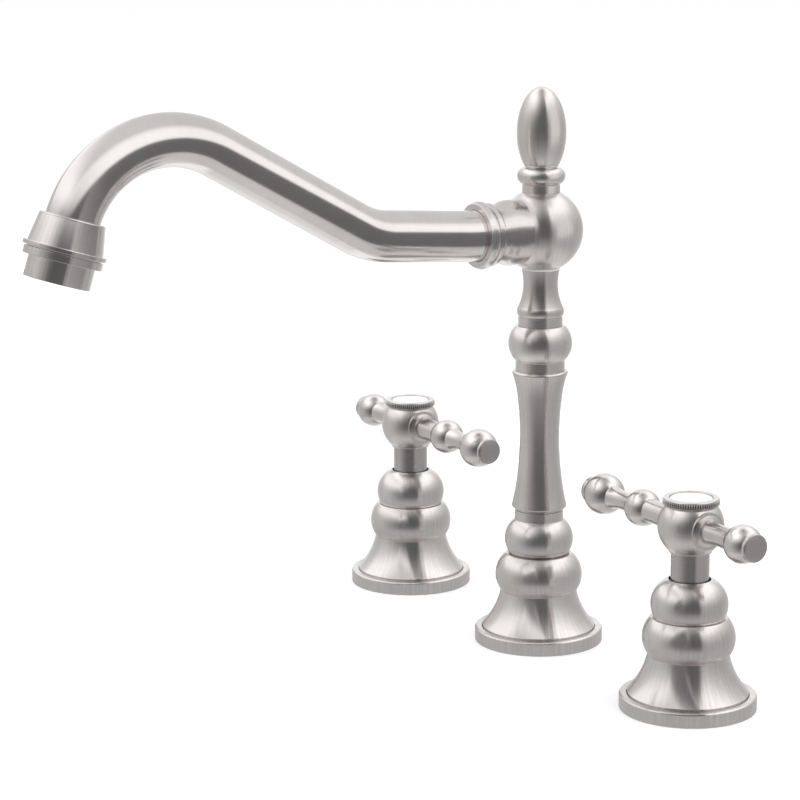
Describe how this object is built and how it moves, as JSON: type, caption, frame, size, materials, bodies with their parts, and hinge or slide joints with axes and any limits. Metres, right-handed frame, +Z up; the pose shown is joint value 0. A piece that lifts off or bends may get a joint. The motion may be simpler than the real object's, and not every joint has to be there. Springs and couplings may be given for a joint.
{
  "type": "widespread bathroom faucet",
  "caption": "Deck faucet in satin nickel: a turned column with a swivelling S-shaped spout and an egg finial, between separate valves with ball-ended lever handles.",
  "frame": {"origin": "centre of the column's foot, on the deck's surface", "axes": "+Z up from the deck, +Y away from the user, so the spout points to -Y; the hot valve stands at -X and the cold valve at +X"},
  "size_m": [0.2824, 0.2512, 0.3133],
  "materials": {
    "satin_nickel": "satin brushed nickel on brass, brushed round each turned form",
    "brass": "plain machined brass",
    "stainless": "plain stainless steel",
    "rubber": "black sealing rubber, matt",
    "ceramic": null,
    "porcelain": null,
    "acetal": "white acetal"
  },
  "bodies": {
    "deck_set": {"deck_gaskets": "rubber", "rubber_washers": "rubber", "steel_washers": "stainless", "mounting_nuts": "brass", "spout_base_ring": "satin_nickel", "spout_bell": "satin_nickel", "column_lower_bulb": "satin_nickel", "column_sleeve": "satin_nickel", "column_mid_bulb": "satin_nickel", "column_neck": "satin_nickel", "spout_shank": "brass", "riser_tube": "brass", "swivel_o_rings": "rubber", "swivel_bush": "acetal", "hot_base_ring": "satin_nickel", "hot_bell": "satin_nickel", "hot_dome": "satin_nickel", "hot_valve_body": "brass", "hot_cartridge_body": "brass", "hot_fixed_disc": "ceramic", "hot_seat_seal": "rubber", "cold_base_ring": "satin_nickel", "cold_bell": "satin_nickel", "cold_dome": "satin_nickel", "cold_valve_body": "brass", "cold_cartridge_body": "brass", "cold_fixed_disc": "ceramic", "cold_seat_seal": "rubber"},
    "spout_arm": {"ball_body": "satin_nickel", "set_screw": "stainless", "finial_base": "satin_nickel", "finial_egg": "satin_nickel", "finial_stud": "stainless", "spout_coupling": "satin_nickel", "spout_tube": "satin_nickel", "outlet_shroud": "satin_nickel", "aerator_housing": "satin_nickel", "aerator_insert": "acetal", "aerator_washer": "rubber"},
    "hot_handle": {"hot_collar": "satin_nickel", "hot_hub": "satin_nickel", "hot_long_arm": "satin_nickel", "hot_short_arm": "satin_nickel", "hot_cap_ring": "satin_nickel", "hot_index_disc": "porcelain", "hot_handle_screw": "stainless", "hot_stem": "brass", "hot_moving_disc": "ceramic"},
    "cold_handle": {"cold_collar": "satin_nickel", "cold_hub": "satin_nickel", "cold_long_arm": "satin_nickel", "cold_short_arm": "satin_nickel", "cold_cap_ring": "satin_nickel", "cold_index_disc": "porcelain", "cold_handle_screw": "stainless", "cold_stem": "brass", "cold_moving_disc": "ceramic"}
  },
  "joints": [
    {"name": "spout_swivel", "type": "hinge", "parent": "deck_set", "child": "spout_arm", "pos_m": [0, 0, 0.1523], "axis": [0, 0, 1], "continuous": true},
    {"name": "hot_handle_turn", "type": "hinge", "parent": "deck_set", "child": "hot_handle", "pos_m": [-0.1016, 0, 0.07], "axis": [0, 0, 1], "range_deg": [-90, 0]},
    {"name": "cold_handle_turn", "type": "hinge", "parent": "deck_set", "child": "cold_handle", "pos_m": [0.1016, 0, 0.07], "axis": [0, 0, 1], "range_deg": [0, 90]}
  ]
}
